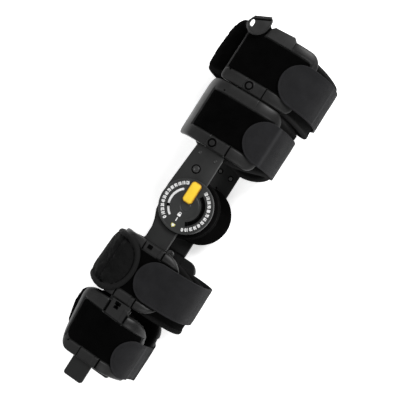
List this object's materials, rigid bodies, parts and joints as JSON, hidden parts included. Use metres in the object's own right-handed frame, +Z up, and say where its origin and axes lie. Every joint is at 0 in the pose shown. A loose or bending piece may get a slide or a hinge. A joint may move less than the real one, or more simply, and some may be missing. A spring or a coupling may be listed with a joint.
{
  "type": "hinged knee brace",
  "caption": "Black hinged knee brace with dial-stop hinges on flat uprights and padded strapped cuffs above and below the knee, holding it straight or within a set range.",
  "frame": {"origin": "on the floor under the middle of the whole brace, which lies on its medial side", "axes": "+Z up, from the medial to the lateral side; +Y along the leg toward the thigh; +X toward the back of the knee"},
  "size_m": [0.145, 0.457, 0.126],
  "materials": {
    "upright": "satin dark coating",
    "dial": "satin moulded",
    "stop": "satin moulded",
    "lock_slider": "satin moulded",
    "condyle_pad": "brushed loop over foam",
    "liner": "knit over foam",
    "shell": "fine moulded texture",
    "loop_pad": "brushed loop",
    "strap": "fine knit",
    "wing": "knit over foam, piped edge"
  },
  "bodies": {
    "thigh": {"thigh_upright_lateral": "upright", "thigh_upright_medial": "upright", "dial_lateral": "dial", "dial_medial": "dial", "hinge_pin_lateral": "upright", "hinge_pin_medial": "upright", "condyle_pad_lateral": "condyle_pad", "condyle_pad_medial": "condyle_pad"},
    "calf": {"calf_upright_lateral": "upright", "calf_upright_medial": "upright"},
    "lower_thigh_cuff": {"lower_thigh_liner": "liner", "lower_thigh_shell_lateral": "shell", "lower_thigh_shell_medial": "shell", "lower_thigh_loop_pad_lateral": "loop_pad", "lower_thigh_loop_pad_medial": "loop_pad", "lower_thigh_lock_button_lateral": "shell", "lower_thigh_lock_button_medial": "shell", "lower_thigh_strap": "strap"},
    "upper_thigh_cuff": {"upper_thigh_liner": "liner", "upper_thigh_shell_lateral": "shell", "upper_thigh_shell_medial": "shell", "upper_thigh_loop_pad_lateral": "loop_pad", "upper_thigh_loop_pad_medial": "loop_pad", "upper_thigh_lock_button_lateral": "shell", "upper_thigh_lock_button_medial": "shell", "upper_thigh_strap": "strap", "upper_thigh_strap_loop": "shell"},
    "upper_calf_cuff": {"upper_calf_liner": "liner", "upper_calf_shell_lateral": "shell", "upper_calf_shell_medial": "shell", "upper_calf_loop_pad_lateral": "loop_pad", "upper_calf_loop_pad_medial": "loop_pad", "upper_calf_lock_button_lateral": "shell", "upper_calf_lock_button_medial": "shell", "upper_calf_strap": "strap", "upper_calf_wing": "wing"},
    "lower_calf_cuff": {"lower_calf_liner": "liner", "lower_calf_shell_lateral": "shell", "lower_calf_shell_medial": "shell", "lower_calf_loop_pad_lateral": "loop_pad", "lower_calf_loop_pad_medial": "loop_pad", "lower_calf_lock_button_lateral": "shell", "lower_calf_lock_button_medial": "shell", "lower_calf_strap": "strap"},
    "lock_slider_lateral": {"lock_slider_lateral": "lock_slider"},
    "lock_slider_medial": {"lock_slider_medial": "lock_slider"},
    "extension_stop_lateral": {"extension_stop_lateral": "stop"},
    "extension_stop_medial": {"extension_stop_medial": "stop"},
    "flexion_stop_lateral": {"flexion_stop_lateral": "stop"},
    "flexion_stop_medial": {"flexion_stop_medial": "stop"}
  },
  "joints": [
    {"name": "knee_flexion", "type": "hinge", "parent": "thigh", "child": "calf", "pos_m": [0.00587, -0.00008, 0.0619], "axis": [0, 0, 1], "range_deg": [0, 100]},
    {"name": "lower_thigh_cuff_slide", "type": "slide", "parent": "thigh", "child": "lower_thigh_cuff", "axis": [0, 1, 0], "range_m": [0, 0.02]},
    {"name": "upper_thigh_cuff_slide", "type": "slide", "parent": "lower_thigh_cuff", "child": "upper_thigh_cuff", "axis": [0, 1, 0], "range_m": [0, 0.03]},
    {"name": "upper_calf_cuff_slide", "type": "slide", "parent": "calf", "child": "upper_calf_cuff", "axis": [0, -1, 0], "range_m": [0, 0.015]},
    {"name": "lower_calf_cuff_slide", "type": "slide", "parent": "upper_calf_cuff", "child": "lower_calf_cuff", "axis": [0, -1, 0], "range_m": [0, 0.025]},
    {"name": "lock_slide_lateral", "type": "slide", "parent": "thigh", "child": "lock_slider_lateral", "axis": [0, -1, 0], "range_m": [0, 0.008]},
    {"name": "extension_stop_turn_lateral", "type": "hinge", "parent": "thigh", "child": "extension_stop_lateral", "pos_m": [0.00587, -0.00008, 0.1205], "axis": [0, 0, 1], "range_deg": [-73, 29]},
    {"name": "flexion_stop_turn_lateral", "type": "hinge", "parent": "thigh", "child": "flexion_stop_lateral", "pos_m": [0.00587, -0.00008, 0.1205], "axis": [0, 0, 1], "range_deg": [0, 102]},
    {"name": "lock_slide_medial", "type": "slide", "parent": "thigh", "child": "lock_slider_medial", "axis": [0, -1, 0], "range_m": [0, 0.008]},
    {"name": "extension_stop_turn_medial", "type": "hinge", "parent": "thigh", "child": "extension_stop_medial", "pos_m": [0.00587, -0.00008, 0.0033], "axis": [0, 0, 1], "range_deg": [-73, 29]},
    {"name": "flexion_stop_turn_medial", "type": "hinge", "parent": "thigh", "child": "flexion_stop_medial", "pos_m": [0.00587, -0.00008, 0.0033], "axis": [0, 0, 1], "range_deg": [0, 102]}
  ]
}
